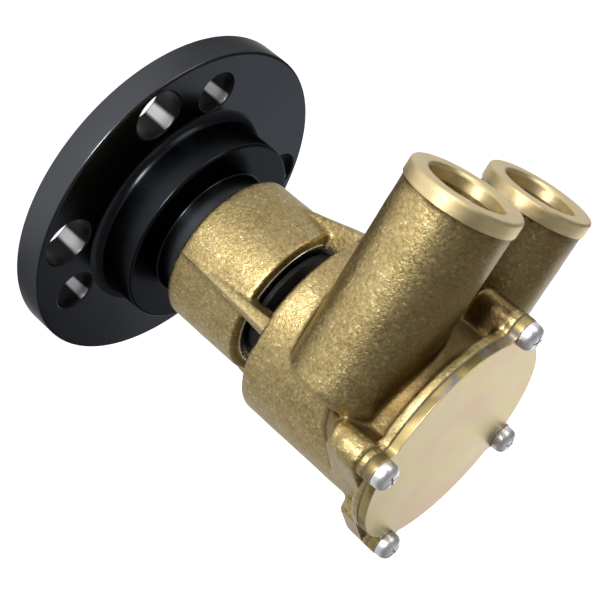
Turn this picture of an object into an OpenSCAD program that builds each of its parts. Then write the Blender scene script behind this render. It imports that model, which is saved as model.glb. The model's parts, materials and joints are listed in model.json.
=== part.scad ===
// Flexible impeller pump with a drive flange, in millimetres.
// The shaft axis is Z. The flange's mounting face lies at z = 0 and the end cover is on top.
// The two hose ports point towards -Y.

/* [Drive flange] */
// Radius of the flange's disc
flange_r = 63.5; // [63:0.5:70]
// Thickness of the disc
flange_t = 11.2; // [8:0.1:14]
// Radius of the hub in front of the disc
hub_r = 37; // [34:0.1:39]
// Height of the hub above the disc
hub_h = 16.4; // [14:0.1:20]
// Radius of the fillet at the hub's root
hub_root_fillet = 3.6; // [1:0.1:5]
// Radius of the neck that ends in front of the bearings
neck_r = 24.6; // [22:0.1:26]
// Height of the neck above the hub
neck_h = 8.4; // [6:0.1:12]
// Radius of the pilot recess in the mounting face
pilot_r = 22.25; // [20:0.05:26]
// Depth of the pilot recess
pilot_depth = 5; // [3:0.1:7]
// Radius of the pocket round the shaft nut
nut_pocket_r = 14; // [13:0.1:16]
// Distance of the four large holes' centres from the disc's rim
large_hole_in = 11.5; // [11:0.1:12]
// Radius of a large hole
large_hole_r = 9.2; // [6:0.1:9.6]
// Distance of the three small holes' centres from the disc's rim
small_hole_in = 14.9; // [12:0.1:15]
// Radius of a small hole
small_hole_r = 7.6; // [5:0.1:8]

/* [Bearings] */
// Bore radius of a bearing
bearing_bore_r = 10; // [10:0.05:10.5]
// Outer radius of a bearing
bearing_r = 23.5; // [23:0.05:24.5]
// Width of a bearing
bearing_w = 14; // [13:0.1:16]
// Radius of a bearing ball
ball_r = 3.95; // [3.6:0.01:4.1]
// Number of balls in a bearing
ball_count = 8; // [6:1:8]
// Thickness of the spring ring that holds the bearings
circlip_t = 1.75; // [1.5:0.05:2]

/* [Housing] */
// Outer radius of the bearing barrel
barrel_r = 28.8; // [28:0.1:30]
// Width of the open drain gap between the bearings and the pump chamber
drain_gap = 11.5; // [9:0.1:14]
// Wall round the pump chamber
chamber_wall = 3.3; // [3:0.1:5]
// Thickness of the wall behind the chamber, which holds the lip seal
back_wall = 7.6; // [7.2:0.1:10]
// Thickness of a gusset where it meets the chamber
gusset_t = 7.2; // [5:0.1:9]
// Radius of the side and rear gussets where they meet the chamber
gusset_r = 33; // [31:0.1:35]
// Radius of the gusset between the ports where it meets the chamber
port_gusset_r = 36.6; // [33:0.1:37]
// Distance from the barrel's mouth to the start of the gusset between the ports
port_gusset_start = 15; // [4:0.5:20]

/* [Ports] */
// How far each port's axis lies inside the chamber's outer radius
port_in = 8.1; // [6:0.1:10]
// Distance of a port's mouth from the shaft axis
port_reach = 76; // [65:0.5:90]
// Distance of the port axes behind the cover joint
port_back = 27.5; // [26:0.1:28]
// Outer radius of a port's cast tube
tube_r = 19.1; // [18:0.1:19.3]
// Radius of a port's machined collar
collar_r = 19.6; // [19.4:0.1:21]
// Length of the machined collar
collar_len = 5.2; // [4:0.1:10]
// Radius of a port's machined bore
port_bore_r = 13.2; // [12.6:0.1:14]
// Depth of the machined bore
port_bore_depth = 38; // [20:0.5:39]

/* [Cover] */
// How far the cover and the rim stand out from the chamber's wall
rim_out = 4.2; // [3.6:0.1:6]
// Thickness of the end cover
cover_t = 3.1; // [2.5:0.1:5]
// Thickness of the cover's gasket
gasket_t = 0.5; // [0.3:0.05:1]
// Distance of the cover screws from the cover's round edge
screw_out = 3.2; // [2.8:0.1:4.8]
// Angle of the two side screws from the ports' plane
side_screw_turn = 6.5; // [0:0.5:8]
// Radius of the rounded ear at a screw
ear_r = 5; // [4.8:0.1:6]
// Length of the lug at the plain side of the housing
lug_len = 10; // [8.6:0.1:14]
// Half width of the lug at the plain side
lug_half_w = 19; // [12:0.5:22]
// Length of the lugs beside and between the ports
port_lug_len = 15.5; // [12:0.1:18]
// Radius of a cover screw's shank
screw_r = 2.45; // [2:0.05:2.6]
// Radius of a cover screw's head
screw_head_r = 4.8; // [4:0.1:5]
// Height of a cover screw's head
screw_head_h = 4.8; // [3:0.1:5.5]
// Length of a cover screw's shank
screw_len = 10; // [8:0.5:10]

/* [Impeller] */
// Diameter of the impeller
impeller_d = 65; // [64:0.5:66]
// Width of the impeller
impeller_w = 50; // [48:0.5:56]
// Number of blades
blade_count = 10; // [6:1:10]
// Thickness of a blade at its middle
blade_t = 3.6; // [3:0.1:4]
// Radius of the bead on a blade's tip
blade_bead_r = 2.4; // [2:0.1:2.6]
// Radius of the rubber hub
impeller_hub_r = 16.5; // [15.5:0.1:17.5]
// Radius of the brass bush in the rubber
bush_r = 12.5; // [11.8:0.1:13]
// How far the cam stands into the chamber
cam_rise = 4.4; // [3:0.1:5]

/* [Shaft] */
// Radius of the shaft in the flange
shaft_flange_r = 9; // [8.5:0.05:9.5]
// Radius of the shaft in the impeller
shaft_impeller_r = 8; // [7:0.05:8.5]
// Radius of the shaft's threaded end
shaft_thread_r = 6; // [5:0.1:7]
// Width of the square keys
key_w = 5; // [4:0.1:5.5]

/* [Hidden] */
$fn = 96;
cam_fn = 720;

// Clearances and overruns
seat_gap = 0.02;
run_gap = 0.06;
face_gap = 0.1;
side_gap = 0.3;
cut = 1;

// Angles of the patterns, counter-clockwise from +X seen from the cover
flange_turn = 347.4;
large_hole_angles = [30, -30, 150, -150];
small_hole_angles = [60, -60, 180];
port_side = 270;
plain_side = 90;
screw_angles = [port_side, plain_side, side_screw_turn, 180 - side_screw_turn];

// Edges
flange_edge = 0.8;
hub_edge = 0.7;
pilot_edge = 0.4;
barrel_edge = 0.8;
body_edge = 2;
tube_edge = 3.2;
collar_edge = 0.8;
mouth_edge = 0.6;
lug_edge = 2.8;
lug_corner = 3;
ear_fillet = 3;
blend_step = 0.05;
ear_side = ear_r - blend_step;
key_edge = 0.4;

// Heights along the shaft axis, from the mounting face up
hub_z = flange_t + hub_h;
neck_z = hub_z + neck_h;
mouth_gap = 0.8;
mouth_z = neck_z + mouth_gap;
mouth_land = 2.15;
circlip_z = mouth_z + mouth_land;
bearing_z = circlip_z + circlip_t;
bearing_count = 2;
lip_z = bearing_z + bearing_count * bearing_w;
lip_t = 0.8;
barrel_z = lip_z + lip_t;
back_z = barrel_z + drain_gap;
wear_z = back_z + back_wall;
wear_plate_t = 1;
chamber_z = wear_z + wear_plate_t;
impeller_z = chamber_z + side_gap;
cover_z = impeller_z + impeller_w + side_gap;
joint_z = cover_z - gasket_t;
port_z = joint_z - port_back;
cover_top = cover_z + cover_t;

// Chamber
impeller_r = impeller_d / 2;
tip_gap = 0.2;
chamber_r = impeller_r + tip_gap;
body_r = chamber_r + chamber_wall;
cover_r = body_r + rim_out;
screw_at = cover_r + screw_out;
port_x = body_r - port_in;
rim_t = 3.5;
gasket_in_r = chamber_r + tip_gap;

// Bearing housing
lip_step = 0.6;
lip_hole_r = bearing_r - lip_step;
circlip_groove = 1.1;
circlip_w = 3.4;
circlip_end_turn = 10;
gusset_sunk = 0.5;
gusset_in_r = bearing_r + gusset_sunk;
gusset_start = 3.5;
gusset_tip_t = 1.4;
gusset_root = 2;

// Bearings
pitch_r = (bearing_bore_r + bearing_r) / 2;
race_gap = 0.12;
race_r = ball_r + race_gap;
inner_land_r = pitch_r - ball_r * 0.64;
outer_land_r = pitch_r + ball_r * 0.7;
seal_seat_step = 2.9;
seal_seat_r = outer_land_r + seal_seat_step;
seal_t = 0.9;
seal_inset = 0.15;
seal_lip_gap = 0.1;
cage_half_t = 0.85;
cage_rim = 0.75;
cage_half_w = ball_r + cage_rim;
cage_gap = 0.1;
ball_angles = [for (i = [0:ball_count - 1]) i * 360 / ball_count];
bearing_middles = [for (i = [0:bearing_count - 1]) bearing_z + (i + 0.5) * bearing_w];

// Lip seal
seal_section = 5;
seal_bore_r = bearing_bore_r + seal_section;
seal_w = 7;
seal_stop_t = back_wall - seal_w;
seal_stop_w = 1.8;
seal_stop_r = seal_bore_r - seal_stop_w;
seal_wall = 1.3;
seal_back = 1.8;
lip_w = 1.6;
garter_wire_r = 0.7;
garter_r = bearing_bore_r + lip_w + garter_wire_r;

// Shaft
nut_h = 8;
nut_r = 10.4;
nut_sides = 6;
washer_t = 1.6;
washer_r = 12.4;
nut_sunk = 0.8;
nut_z = pilot_depth + nut_sunk;
thread_out = 0.4;
shaft_start = nut_z - thread_out;
washer_z = nut_z + nut_h;
pocket_z = washer_z + washer_t;
collar_shaft_w = 2.4;
collar_shaft_r = bearing_bore_r + collar_shaft_w;
collar_shaft_t = 1;
sleeve_wall = 3;
sleeve_r = bearing_bore_r + sleeve_wall;
shaft_set_back = 3;
shaft_end = impeller_z + impeller_w - shaft_set_back;
shaft_chamfer = 0.8;
key_depth_share = 0.55;
flange_key_len = (neck_z - pocket_z) * 0.7;
flange_key_z = pocket_z + (neck_z - pocket_z) * 0.15;
impeller_key_len = impeller_w * 0.8;
impeller_key_z = impeller_z + impeller_w * 0.06;

// Slinger, a thin rubber disc close to the barrel's end
slinger_rim_gap = 1.9;
slinger_r = lip_hole_r - slinger_rim_gap;
slinger_w = 1.8;
slinger_hub_wall = 2;
slinger_hub_r = bearing_bore_r + slinger_hub_wall;
slinger_hub_w = 6;
slinger_z = lip_z + collar_shaft_t + seat_gap;

// Port passages behind the machined bores
passage_step = 0.4;
passage_r = port_bore_r - passage_step;
passage_end = 4;
tube_end = 0.6;

// Cam, a lens between the chamber's wall and an arc that bulges towards the shaft
cam_half_w = chamber_r * 0.425;
cam_wall_y = sqrt(chamber_r * chamber_r - cam_half_w * cam_half_w);
cam_top = chamber_r - cam_rise;
cam_sag = cam_wall_y - cam_top;
cam_arc_r = (cam_half_w * cam_half_w + cam_sag * cam_sag) / (2 * cam_sag);
cam_arc_y = cam_top + cam_arc_r;
cam_end_gap = 0.2;
cam_z = chamber_z + cam_end_gap;
cam_h = joint_z - cam_z;
cam_mid_z = cam_z + cam_h / 2;
cam_screw_r = 2.45;
cam_screw_deep = cam_rise * 0.7;
cam_screw_head_r = 4.6;
cam_screw_head_h = 3.4;
cam_boss_r = 6.5;
cam_boss_h = 1.4;
cam_washer_t = 1;
cam_washer_r = 5.4;
cam_seat_r = body_r + cam_boss_h;
spot_gap = 0.3;
spot_deep = 0.4;

// Cover screws
screw_depth = screw_len - cover_t - gasket_t;
screw_tap_end = 1.5;
screw_hole_gap = 0.3;
head_side_share = 0.55;
recess_w = 1.1;
recess_len = 4.6;
recess_depth = 1.7;

// Impeller blades
blade_steps = 9;
blade_len = impeller_r - blade_bead_r - impeller_hub_r;
blade_tip_gap = 0.35;
blade_root_share = 1.35;
blade_tip_share = 0.8;
blade_max_lean = 120;
lean_tries = 24;
bush_groove_r = 0.9;
bush_groove_count = 8;

// Wear plate
wear_plate_gap = 2.2;
wear_plate_hole_r = bearing_bore_r + wear_plate_gap;

function polar(r, a) = [r * cos(a), r * sin(a)];

// Radius of the chamber's wall, cam included, at an angle seen from the shaft
function cam_reach(a) = cam_arc_y * cos(a - port_side);
function on_cam(a) = cam_reach(a) > 0
    && cam_reach(a) * cam_reach(a) > cam_arc_y * cam_arc_y - cam_arc_r * cam_arc_r;
function cam_line(a) = cam_reach(a)
    - sqrt(cam_reach(a) * cam_reach(a) - cam_arc_y * cam_arc_y + cam_arc_r * cam_arc_r);
function wall_r(a) = on_cam(a) ? min(chamber_r, cam_line(a)) : chamber_r;

// A blade's middle line in its own frame: it leaves the hub along +X and bends most near its root
function lean_at(s, lean) = lean * (2 * s - s * s);
function blade_line(lean, i = 0, at = [0, 0]) = i > blade_steps ? [] : concat(
    [at],
    blade_line(lean, i + 1, at + blade_len / blade_steps * polar(1, lean_at((i + 0.5) / blade_steps, lean)))
);
function blade_tip(lean) = [impeller_hub_r, 0] + blade_line(lean)[blade_steps];
function tip_angle(tip) = atan2(tip[1], tip[0]);
function tip_room(lean, turn) = wall_r(turn + tip_angle(blade_tip(lean))) - blade_bead_r - blade_tip_gap
    - norm(blade_tip(lean));
function blade_lean(turn, low = 0, high = blade_max_lean, tries = lean_tries) = tries == 0
    ? high
    : tip_room((low + high) / 2, turn) > 0
        ? blade_lean(turn, low, (low + high) / 2, tries - 1)
        : blade_lean(turn, (low + high) / 2, high, tries - 1);
function blade_half(s) = blade_t / 2 * (s < 0.5
    ? blade_root_share + (1 - blade_root_share) * 2 * s
    : 1 + (blade_tip_share - 1) * (2 * s - 1));

// Square bar with its corners cut, standing along Z
module bar(w, h, len, edge) {
    linear_extrude(height = len)
        polygon([
            [-w / 2 + edge, -h / 2], [w / 2 - edge, -h / 2], [w / 2, -h / 2 + edge],
            [w / 2, h / 2 - edge], [w / 2 - edge, h / 2], [-w / 2 + edge, h / 2],
            [-w / 2, h / 2 - edge], [-w / 2, -h / 2 + edge]
        ]);
}

// Plain ring that starts at z = 0
module ring(r_out, r_in, h) {
    difference() {
        cylinder(r = r_out, h = h);
        translate([0, 0, -cut])
            cylinder(r = r_in, h = h + 2 * cut);
    }
}

// Half section of a disc from z = 0 with a rounded rim at its lower side
module round_foot(r, h, edge) {
    translate([0, edge])
        square([r, h - edge]);
    square([r - edge, h]);
    translate([r - edge, edge])
        circle(r = edge);
}

// Half section of a disc from z = 0 with its upper rim cut at 45 degrees
module cut_top(r, h, edge) {
    polygon([[0, 0], [r, 0], [r, h - edge], [r - edge, h], [0, h]]);
}

// Copies turned to each of the angles
module at_angles(angles) {
    for (a = angles)
        rotate([0, 0, a])
            children();
}

// Fills the inner corner between a disc and the straight side of an ear that points along +X
module ear_corner(disc_r) {
    centre_y = ear_side + ear_fillet;
    centre_x = sqrt((disc_r + ear_fillet) * (disc_r + ear_fillet) - centre_y * centre_y);
    touch = disc_r / (disc_r + ear_fillet);
    difference() {
        polygon([
            [disc_r - ear_r, 0], [centre_x, 0], [centre_x, centre_y],
            [centre_x * touch, centre_y * touch], [disc_r - ear_r, 0]
        ]);
        translate([centre_x, centre_y])
            circle(r = ear_fillet + blend_step);
    }
}

// Outline of an ear round a cover screw, pointing along +X
module ear() {
    translate([screw_at, 0])
        circle(r = ear_r);
    translate([0, -ear_side])
        square([screw_at, 2 * ear_side]);
}

// Outline of the cover, the gasket and the housing's rim
module cover_outline() {
    circle(r = cover_r);
    at_angles(screw_angles) {
        ear();
        ear_corner(cover_r);
        mirror([0, 1])
            ear_corner(cover_r);
    }
}

// Round holes of one radius for the cover screws
module screw_holes(r, h) {
    at_angles(screw_angles)
        translate([screw_at, 0, 0])
            cylinder(r = r, h = h);
}

// Angle at which a line touches both an ear that points along +X and a disc round the shaft
function ear_touch(disc_r) = acos((disc_r - ear_r) / screw_at);

// Outline of a side ear whose flank runs smoothly into the chamber's wall
module flank_ear(side) {
    touch = ear_touch(body_r);
    ear();
    polygon([
        [0, 0], (body_r - blend_step) * [cos(touch), side * sin(touch)],
        [screw_at, 0] + ear_side * [cos(touch), side * sin(touch)], [screw_at, 0]
    ]);
}

// Outline of the wide lug at the plain side, drawn along +X
module wide_ear() {
    touch = ear_touch(cover_r);
    corner_y = lug_half_w - lug_corner;
    corner_x = (cover_r - lug_corner - corner_y * sin(touch)) / cos(touch);
    ear();
    for (side = [-1, 1]) {
        polygon([
            [0, 0], [0, side * (lug_half_w - blend_step)], [corner_x, side * (lug_half_w - blend_step)],
            [corner_x, side * corner_y] + (lug_corner - blend_step) * [cos(touch), side * sin(touch)],
            [screw_at, 0] + ear_side * [cos(touch), side * sin(touch)], [screw_at, 0]
        ]);
        translate([corner_x, side * corner_y])
            circle(r = lug_corner);
    }
}

// Lug behind an ear with the given outline, its outer rear corner rounded and its top just under the rim's
module lug(len) {
    intersection() {
        translate([0, 0, joint_z - len])
            linear_extrude(height = len - blend_step)
                children();
        rotate([90, 0, 0])
            translate([0, joint_z - len, -cover_r])
                linear_extrude(height = 2 * cover_r)
                    round_foot(screw_at + ear_r, len, lug_edge);
    }
}

// Gusset that points along +X, wider and higher towards the chamber
module gusset(root_r, start) {
    start_z = mouth_z + start;
    end_z = back_z + gusset_root;
    intersection() {
        rotate([90, 0, 0])
            translate([0, 0, -gusset_t])
                linear_extrude(height = 2 * gusset_t)
                    polygon([
                        [gusset_in_r, start_z], [barrel_r, start_z],
                        [root_r, end_z], [gusset_in_r, end_z]
                    ]);
        rotate([90, 0, 90])
            linear_extrude(height = body_r)
                polygon([
                    [-gusset_tip_t / 2, start_z], [gusset_tip_t / 2, start_z],
                    [gusset_t / 2, end_z], [-gusset_t / 2, end_z]
                ]);
    }
}

// One port's tube and collar along +Z from the shaft's plane
module port_tube() {
    rotate_extrude() {
        translate([0, -tube_end])
            round_foot(tube_r, port_reach - collar_len + tube_end, tube_edge);
        translate([0, port_reach - collar_len])
            cut_top(collar_r, collar_len, collar_edge);
    }
}

// One port's machined bore and the passage behind it, along +Z from the shaft's plane
module port_bore() {
    translate([0, 0, passage_end])
        cylinder(r = passage_r, h = port_reach - passage_end);
    translate([0, 0, port_reach - port_bore_depth])
        cylinder(r = port_bore_r, h = port_bore_depth + cut);
    translate([0, 0, port_reach - mouth_edge])
        cylinder(r1 = port_bore_r, r2 = port_bore_r + mouth_edge + cut, h = mouth_edge + cut);
}

// Copies at both ports
module at_ports() {
    for (side = [-1, 1])
        translate([side * port_x, 0, port_z])
            rotate([90, 0, 0])
                children();
}

module pump_housing() {
    color("#b39b5d")
        difference() {
            union() {
                translate([0, 0, mouth_z])
                    rotate_extrude()
                        round_foot(barrel_r, barrel_z - mouth_z, barrel_edge);
                translate([0, 0, back_z])
                    rotate_extrude()
                        round_foot(body_r, joint_z - back_z - blend_step, body_edge);
                translate([0, 0, joint_z - rim_t])
                    linear_extrude(height = rim_t)
                        cover_outline();
                at_angles([0, plain_side, 180])
                    gusset(gusset_r, gusset_start);
                rotate([0, 0, port_side])
                    gusset(port_gusset_r, port_gusset_start);
                rotate([0, 0, port_side])
                    lug(port_lug_len)
                        ear();
                rotate([0, 0, plain_side])
                    lug(lug_len)
                        wide_ear();
                rotate([0, 0, side_screw_turn])
                    lug(port_lug_len)
                        flank_ear(1);
                rotate([0, 0, 180 - side_screw_turn])
                    lug(port_lug_len)
                        flank_ear(-1);
                at_ports()
                    port_tube();
                translate([0, 0, cam_mid_z])
                    rotate([90, 0, 0])
                        cylinder(r = cam_boss_r, h = cam_seat_r + spot_deep);
            }
            translate([0, 0, mouth_z - cut])
                cylinder(r = bearing_r + seat_gap, h = lip_z - mouth_z + cut);
            translate([0, 0, circlip_z])
                cylinder(r = bearing_r + circlip_groove, h = circlip_t);
            translate([0, 0, lip_z - cut])
                cylinder(r = lip_hole_r, h = lip_t + 2 * cut);
            translate([0, 0, back_z - cut])
                cylinder(r = seal_stop_r, h = back_wall + 2 * cut);
            translate([0, 0, back_z + seal_stop_t])
                cylinder(r = seal_bore_r + seat_gap, h = seal_w + cut);
            translate([0, 0, wear_z])
                cylinder(r = chamber_r, h = joint_z - wear_z + cut);
            at_ports()
                port_bore();
            translate([0, 0, joint_z - screw_depth - screw_tap_end])
                screw_holes(screw_r + seat_gap, screw_depth + screw_tap_end + cut);
            translate([0, 0, cam_mid_z])
                rotate([90, 0, 0]) {
                    cylinder(r = cam_screw_r + screw_hole_gap, h = cam_seat_r + cut);
                    translate([0, 0, cam_seat_r])
                        cylinder(r = cam_washer_r + spot_gap, h = port_reach - cam_seat_r);
                }
        }
}

// The flange's holes, a little longer than its disc
module flange_holes() {
    rotate([0, 0, flange_turn])
        translate([0, 0, -cut]) {
            at_angles(large_hole_angles)
                translate([flange_r - large_hole_in, 0, 0])
                    cylinder(r = large_hole_r, h = flange_t + 2 * cut);
            at_angles(small_hole_angles)
                translate([flange_r - small_hole_in, 0, 0])
                    cylinder(r = small_hole_r, h = flange_t + 2 * cut);
        }
}

module drive_flange() {
    color("#1d1f22")
        difference() {
            rotate_extrude() {
                difference() {
                    polygon([
                        [0, 0], [flange_r - flange_edge, 0], [flange_r, flange_edge],
                        [flange_r, flange_t - flange_edge], [flange_r - flange_edge, flange_t],
                        [hub_r + hub_root_fillet, flange_t], [hub_r, flange_t + hub_root_fillet],
                        [hub_r, hub_z - hub_edge],
                        [hub_r - hub_edge, hub_z], [0, hub_z]
                    ]);
                    translate([hub_r + hub_root_fillet, flange_t + hub_root_fillet])
                        circle(r = hub_root_fillet);
                }
                cut_top(neck_r, neck_z, hub_edge);
            }
            translate([0, 0, -cut])
                cylinder(r = pilot_r, h = pilot_depth + cut);
            translate([0, 0, -cut])
                cylinder(r1 = pilot_r + pilot_edge + cut, r2 = pilot_r, h = pilot_edge + cut);
            cylinder(r = nut_pocket_r, h = pocket_z);
            cylinder(r = shaft_flange_r + seat_gap, h = neck_z + cut);
            translate([shaft_flange_r + key_w * (0.5 - key_depth_share), 0, pocket_z])
                bar(key_w + 2 * seat_gap, key_w + 2 * seat_gap, neck_z - pocket_z + cut, 0);
            flange_holes();
        }
}

// Key along the shaft, centred across its seat
module key_at(r, z, len) {
    translate([r + key_w * (0.5 - key_depth_share), 0, z])
        bar(key_w, key_w, len, key_edge);
}

// Seat of a key in the shaft
module key_seat(r, z, len) {
    translate([r + key_w * (0.5 - key_depth_share), 0, z - seat_gap])
        bar(key_w + 2 * seat_gap, key_w + 2 * seat_gap, len + 2 * seat_gap, 0);
}

module flange_key() {
    color("#8f9499")
        key_at(shaft_flange_r, flange_key_z, flange_key_len);
}

module flange_washer() {
    color("#b9bcc0")
        translate([0, 0, washer_z])
            ring(washer_r, shaft_thread_r + seat_gap, washer_t);
}

module flange_nut() {
    color("#a9adb2")
        translate([0, 0, nut_z])
            difference() {
                intersection() {
                    cylinder(r = nut_r, h = nut_h, $fn = nut_sides);
                    rotate_extrude()
                        cut_top(nut_r, nut_h, shaft_chamfer);
                }
                translate([0, 0, -cut])
                    cylinder(r = shaft_thread_r + seat_gap, h = nut_h + 2 * cut);
            }
}

module shaft() {
    color("#c3c6c9")
        difference() {
            rotate_extrude()
                polygon([
                    [0, shaft_start], [shaft_thread_r - shaft_chamfer, shaft_start],
                    [shaft_thread_r, shaft_start + shaft_chamfer], [shaft_thread_r, pocket_z],
                    [shaft_flange_r, pocket_z], [shaft_flange_r, bearing_z],
                    [bearing_bore_r, bearing_z], [bearing_bore_r, lip_z],
                    [collar_shaft_r, lip_z], [collar_shaft_r, lip_z + collar_shaft_t],
                    [bearing_bore_r, lip_z + collar_shaft_t], [bearing_bore_r, chamber_z],
                    [shaft_impeller_r, chamber_z], [shaft_impeller_r, shaft_end - shaft_chamfer],
                    [shaft_impeller_r - shaft_chamfer, shaft_end], [0, shaft_end]
                ]);
            key_seat(shaft_flange_r, flange_key_z, flange_key_len);
            key_seat(shaft_impeller_r, impeller_key_z, impeller_key_len);
        }
}

module spacer_sleeve() {
    color("#9fa3a6")
        translate([0, 0, neck_z])
            ring(sleeve_r, shaft_flange_r + seat_gap, bearing_z - neck_z);
}

// Half section of the round track that the balls run in
module ball_track() {
    rotate_extrude()
        translate([pitch_r, 0])
            circle(r = race_r);
}

module bearing_inner_rings() {
    color("#cfd2d4")
        for (z = bearing_middles)
            translate([0, 0, z])
                difference() {
                    translate([0, 0, seat_gap - bearing_w / 2])
                        ring(inner_land_r, bearing_bore_r + seat_gap, bearing_w - 2 * seat_gap);
                    ball_track();
                }
}

module bearing_outer_rings() {
    color("#cfd2d4")
        for (z = bearing_middles)
            translate([0, 0, z])
                difference() {
                    translate([0, 0, seat_gap - bearing_w / 2])
                        ring(bearing_r, outer_land_r, bearing_w - 2 * seat_gap);
                    ball_track();
                    for (side = [0, 1])
                        mirror([0, 0, side])
                            translate([0, 0, bearing_w / 2 - seal_t - seal_inset])
                                cylinder(r = seal_seat_r + seat_gap, h = seal_t + seal_inset + cut);
                }
}

module bearing_seals() {
    color("#17181a")
        for (z = bearing_middles)
            for (side = [0, 1])
                translate([0, 0, z])
                    mirror([0, 0, side])
                        translate([0, 0, bearing_w / 2 - seal_t - seal_inset])
                            ring(seal_seat_r, inner_land_r + seal_lip_gap, seal_t);
}

module bearing_balls() {
    color("#d9dbdd")
        for (z = bearing_middles)
            translate([0, 0, z])
                at_angles(ball_angles)
                    translate([pitch_r, 0, 0])
                        sphere(r = ball_r);
}

module bearing_cages() {
    color("#b98f3e")
        for (z = bearing_middles)
            translate([0, 0, z])
                difference() {
                    translate([0, 0, -cage_half_w])
                        ring(pitch_r + cage_half_t, pitch_r - cage_half_t, 2 * cage_half_w);
                    at_angles(ball_angles)
                        rotate([0, 90, 0])
                            cylinder(r = ball_r + cage_gap, h = pitch_r + cage_half_t + cut);
                }
}

module housing_circlip() {
    lug_r = circlip_w * 0.75;
    color("#55585c")
        translate([0, 0, circlip_z + seat_gap])
            difference() {
                union() {
                    ring(bearing_r + circlip_groove - seat_gap, bearing_r + circlip_groove - circlip_w,
                        circlip_t - 2 * seat_gap);
                    for (side = [-1, 1])
                        rotate([0, 0, side * circlip_end_turn])
                            translate([bearing_r - circlip_w * 0.8, 0, 0])
                                cylinder(r = lug_r, h = circlip_t - 2 * seat_gap);
                }
                translate([0, -circlip_w * 0.6, -cut])
                    cube([bearing_r * 2, circlip_w * 1.2, circlip_t + 2 * cut]);
                for (side = [-1, 1])
                    rotate([0, 0, side * circlip_end_turn])
                        translate([bearing_r - circlip_w * 0.8, 0, -cut])
                            cylinder(r = lug_r * 0.4, h = circlip_t + 2 * cut);
            }
}

module slinger() {
    color("#202124")
        translate([0, 0, slinger_z])
            difference() {
                union() {
                    cylinder(r = slinger_hub_r, h = slinger_hub_w);
                    cylinder(r = slinger_r, h = slinger_w);
                }
                translate([0, 0, -cut])
                    cylinder(r = bearing_bore_r + seat_gap, h = slinger_hub_w + 2 * cut);
            }
}

// Rubber ring with a stiff outer wall, a back and a lip that runs on the shaft
module lip_seal() {
    color("#2a2018")
        translate([0, 0, back_z + seal_stop_t])
            rotate_extrude()
                polygon([
                    [bearing_bore_r + lip_w, 0], [seal_bore_r, 0], [seal_bore_r, seal_w],
                    [seal_bore_r - seal_wall, seal_w], [seal_bore_r - seal_wall, seal_back],
                    [bearing_bore_r + lip_w, seal_back], [bearing_bore_r + lip_w, seal_w * 0.8],
                    [bearing_bore_r + run_gap, seal_w * 0.7], [bearing_bore_r + lip_w * 0.5, seal_back],
                    [bearing_bore_r + lip_w * 0.5, seal_back * 0.4]
                ]);
}

module garter_spring() {
    color("#b7babd")
        translate([0, 0, back_z + seal_stop_t + seal_w * 0.65])
            rotate_extrude()
                translate([garter_r + seat_gap, 0])
                    circle(r = garter_wire_r);
}

module wear_plate() {
    color("#c9a557")
        translate([0, 0, wear_z])
            ring(chamber_r - seat_gap, wear_plate_hole_r, wear_plate_t);
}

module cam() {
    color("#c9a04c")
        difference() {
            translate([0, 0, cam_z])
                intersection() {
                    cylinder(r = chamber_r - seat_gap, h = cam_h, $fn = cam_fn);
                    translate([0, -cam_arc_y, 0])
                        cylinder(r = cam_arc_r, h = cam_h, $fn = cam_fn);
                }
            translate([0, 0, cam_mid_z])
                rotate([90, 0, 0])
                    translate([0, 0, chamber_r - cam_screw_deep - face_gap])
                        cylinder(r = cam_screw_r + seat_gap, h = cam_rise + cut);
        }
}

module cam_screw() {
    color("#c9ccd0")
        translate([0, 0, cam_mid_z])
            rotate([90, 0, 0]) {
                translate([0, 0, chamber_r - cam_screw_deep])
                    cylinder(r = cam_screw_r, h = cam_seat_r + cam_washer_t - chamber_r + cam_screw_deep);
                translate([0, 0, cam_seat_r + cam_washer_t])
                    cylinder(r = cam_screw_head_r, h = cam_screw_head_h, $fn = nut_sides);
            }
}

module cam_screw_washer() {
    color("#b87333")
        translate([0, 0, cam_mid_z])
            rotate([90, 0, 0])
                translate([0, 0, cam_seat_r])
                    ring(cam_washer_r, cam_screw_r + seat_gap, cam_washer_t);
}

module cover_gasket() {
    color("#4c463c")
        translate([0, 0, joint_z])
            difference() {
                linear_extrude(height = gasket_t)
                    cover_outline();
                translate([0, 0, -cut])
                    cylinder(r = gasket_in_r, h = gasket_t + 2 * cut);
                translate([0, 0, -cut])
                    screw_holes(screw_r + screw_hole_gap, gasket_t + 2 * cut);
            }
}

module end_cover() {
    color("#d8c48f")
        translate([0, 0, cover_z])
            difference() {
                linear_extrude(height = cover_t)
                    cover_outline();
                translate([0, 0, -cut])
                    screw_holes(screw_r + screw_hole_gap, cover_t + 2 * cut);
            }
}

// Pan head with a domed top, standing on z = 0
module pan_head() {
    side_h = screw_head_h * head_side_share;
    dome_h = screw_head_h - side_h;
    dome_r = (screw_head_r * screw_head_r + dome_h * dome_h) / (2 * dome_h);
    difference() {
        intersection() {
            cylinder(r = screw_head_r, h = screw_head_h);
            translate([0, 0, screw_head_h - dome_r])
                sphere(r = dome_r);
        }
        for (turn = [0, 90])
            rotate([0, 0, turn])
                translate([-recess_len / 2, -recess_w / 2, screw_head_h - recess_depth])
                    cube([recess_len, recess_w, recess_depth + cut]);
    }
}

module cover_screws() {
    color("#cdd0d3")
        at_angles(screw_angles)
            translate([screw_at, 0, cover_top]) {
                pan_head();
                translate([0, 0, -screw_len])
                    cylinder(r = screw_r, h = screw_len + screw_head_h / 4);
            }
}

module impeller_key() {
    color("#8f9499")
        key_at(shaft_impeller_r, impeller_key_z, impeller_key_len);
}

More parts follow.
